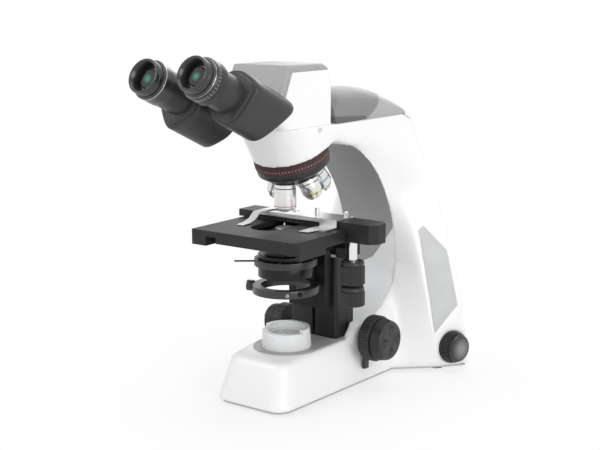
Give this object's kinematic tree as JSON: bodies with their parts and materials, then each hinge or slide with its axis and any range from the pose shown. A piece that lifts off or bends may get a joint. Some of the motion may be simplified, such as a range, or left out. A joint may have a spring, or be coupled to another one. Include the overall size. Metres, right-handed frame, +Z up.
{
  "type": "laboratory microscope",
  "caption": "Upright binocular laboratory microscope with a C-shaped arm, mechanical stage, condenser, tilted turret of objectives and built-in lamp.",
  "frame": {"origin": "foot of the optical axis on the underside of the steel base plate; the rubber feet reach 3 mm lower", "axes": "+Z up along the optical axis, the user sits on the -Y side, +X towards the user's right hand"},
  "size_m": [0.2565, 0.4372, 0.4155],
  "materials": {
    "white_enamel": "satin",
    "black_enamel": "satin",
    "grey_plastic": "matt",
    "light_grey_plastic": "matt",
    "black_plastic": "matt",
    "black_aluminium": "matt anodised",
    "silver_aluminium": "satin anodised",
    "chrome": "polished",
    "steel": "brushed",
    "zinc_plate": "zinc plated",
    "rubber": "matt",
    "brass_gear": "plain",
    "lens_glass": "coated"
  },
  "bodies": {
    "stand": {"stand_shell": "white_enamel", "base_plate": "zinc_plate", "rubber_feet": "rubber", "base_top_plate": "grey_plastic", "illuminator_collar": "silver_aluminium", "field_lens": "lens_glass", "lamp_module": "black_plastic", "arm_insert": "grey_plastic", "arm_top_cover": "grey_plastic", "side_panels": "light_grey_plastic", "head_lock_screw": "steel", "power_inlet": "black_plastic", "focus_column": "black_enamel", "head_housing": "white_enamel", "head_cover": "grey_plastic", "hinge_pin": "steel", "turret_seat": "steel"},
    "dimmer": {"brightness_knob": "black_plastic"},
    "switch": {"power_switch": "black_plastic"},
    "coarse_drive": {"coarse_shaft": "steel", "coarse_knobs": "black_plastic"},
    "fine_drive": {"fine_shaft": "steel", "fine_knobs": "black_plastic"},
    "tension": {"tension_lever": "black_plastic"},
    "stage_carrier": {"stage_bracket": "black_aluminium", "focus_rack": "brass_gear"},
    "stage": {"stage_plate": "black_aluminium", "x_guide_block": "black_aluminium", "drive_column": "chrome"},
    "slide_carrier": {"slide_holder": "steel", "holder_posts": "chrome"},
    "finger": {"spring_finger": "steel"},
    "y_drive": {"y_drive_knob": "black_plastic"},
    "x_drive": {"x_drive_knob": "black_plastic"},
    "condenser": {"condenser_slide": "black_aluminium", "condenser_ring": "black_aluminium", "condenser_body": "black_aluminium", "condenser_lens": "lens_glass", "carrier_screws": "steel"},
    "condenser_drive": {"condenser_focus_knob": "steel"},
    "aperture": {"aperture_ring": "black_aluminium"},
    "clamp": {"condenser_clamp": "steel"},
    "nosepiece": {"turret": "black_aluminium", "turret_grip": "rubber", "objective_4x": "chrome", "objective_10x": "chrome", "objective_20x": "chrome", "objective_40x": "chrome", "objective_100x": "chrome"},
    "tube_right": {"prism_housing_right": "black_enamel", "eyetube_right": "black_aluminium", "eyepiece_right": "black_aluminium", "eye_lens_right": "lens_glass", "eyecup_right": "rubber"},
    "tube_left": {"prism_housing_left": "black_enamel", "eyetube_left": "black_aluminium", "eyepiece_left": "black_aluminium", "eye_lens_left": "lens_glass", "eyecup_left": "rubber"},
    "dioptre": {"dioptre_ring": "black_aluminium"}
  },
  "joints": [
    {"name": "focus_travel", "type": "slide", "parent": "stand", "child": "stage_carrier", "axis": [0, 0, 1], "range_m": [-0.022, 0.002]},
    {"name": "coarse_turn", "type": "hinge", "parent": "stand", "child": "coarse_drive", "pos_m": [0, 0.083, 0.06], "axis": [1, 0, 0], "range_deg": [-20, 211]},
    {"name": "fine_turn", "type": "hinge", "parent": "stand", "child": "fine_drive", "pos_m": [0, 0.083, 0.06], "axis": [1, 0, 0], "continuous": true},
    {"name": "tension_turn", "type": "hinge", "parent": "stand", "child": "tension", "pos_m": [0.058, 0.083, 0.06], "axis": [-1, 0, 0], "range_deg": [0, 60]},
    {"name": "stage_y", "type": "slide", "parent": "stage_carrier", "child": "stage", "axis": [0, 1, 0], "range_m": [-0.019, 0.031]},
    {"name": "y_drive_turn", "type": "hinge", "parent": "stage", "child": "y_drive", "pos_m": [0.0888, 0.0105, 0.16], "axis": [0, 0, 1], "range_deg": [-199, 325]},
    {"name": "stage_x", "type": "slide", "parent": "stage", "child": "slide_carrier", "axis": [1, 0, 0], "range_m": [-0.038, 0.038]},
    {"name": "x_drive_turn", "type": "hinge", "parent": "stage", "child": "x_drive", "pos_m": [0.0888, 0.0105, 0.13], "axis": [0, 0, 1], "range_deg": [-400, 400]},
    {"name": "finger_open", "type": "hinge", "parent": "slide_carrier", "child": "finger", "pos_m": [-0.017, 0.02, 0.219], "axis": [0, 0, -1], "range_deg": [0, 20], "stiffness_Nm_per_rad": 0.02, "springref_deg": -11.46},
    {"name": "condenser_travel", "type": "slide", "parent": "stage_carrier", "child": "condenser", "axis": [0, 0, 1], "range_m": [-0.02, 0]},
    {"name": "condenser_focus_turn", "type": "hinge", "parent": "stage_carrier", "child": "condenser_drive", "pos_m": [-0.04, 0.0479, 0.15], "axis": [1, 0, 0], "range_deg": [0, 162]},
    {"name": "aperture_turn", "type": "hinge", "parent": "condenser", "child": "aperture", "pos_m": [0, 0, 0.162], "axis": [0, 0, 1], "range_deg": [-30, 45]},
    {"name": "condenser_clamp_turn", "type": "hinge", "parent": "condenser", "child": "clamp", "pos_m": [0, 0, 0.1295], "axis": [-0.9397, -0.342, 0], "range_deg": [0, 300]},
    {"name": "turret_turn", "type": "hinge", "parent": "stand", "child": "nosepiece", "pos_m": [0, 0, 0.32], "axis": [0, 0.342, -0.9397], "continuous": true},
    {"name": "interpupillary_right", "type": "hinge", "parent": "stand", "child": "tube_right", "pos_m": [0, -0.19047, 0.40914], "axis": [0, -0.9063, 0.4226], "range_deg": [-21.5, 27.5]},
    {"name": "interpupillary_left", "type": "hinge", "parent": "stand", "child": "tube_left", "pos_m": [0, -0.19047, 0.40914], "axis": [0, 0.9063, -0.4226], "range_deg": [-21.6, 27.6]},
    {"name": "dioptre_turn", "type": "hinge", "parent": "tube_right", "child": "dioptre", "pos_m": [0.0343, -0.19688, 0.3954], "axis": [0, -0.9063, 0.4226], "range_deg": [-120, 120]},
    {"name": "brightness_turn", "type": "hinge", "parent": "stand", "child": "dimmer", "pos_m": [0.107, 0.203, 0.027], "axis": [0.9744, -0.225, 0], "range_deg": [-140, 140]},
    {"name": "power_switch_press", "type": "hinge", "parent": "stand", "child": "switch", "pos_m": [-0.04, 0.226, 0.04], "axis": [-1, 0, 0], "range_deg": [0, 14]}
  ],
  "couplings": [
    {"joint": "coarse_turn", "follows": "focus_travel", "rad_per_m": -166.67},
    {"joint": "y_drive_turn", "follows": "stage_y", "rad_per_m": 181.82},
    {"joint": "x_drive_turn", "follows": "stage_x", "rad_per_m": 181.82},
    {"joint": "condenser_focus_turn", "follows": "condenser_travel", "rad_per_m": -140.85},
    {"joint": "interpupillary_left", "follows": "interpupillary_right", "ratio": 1}
  ]
}
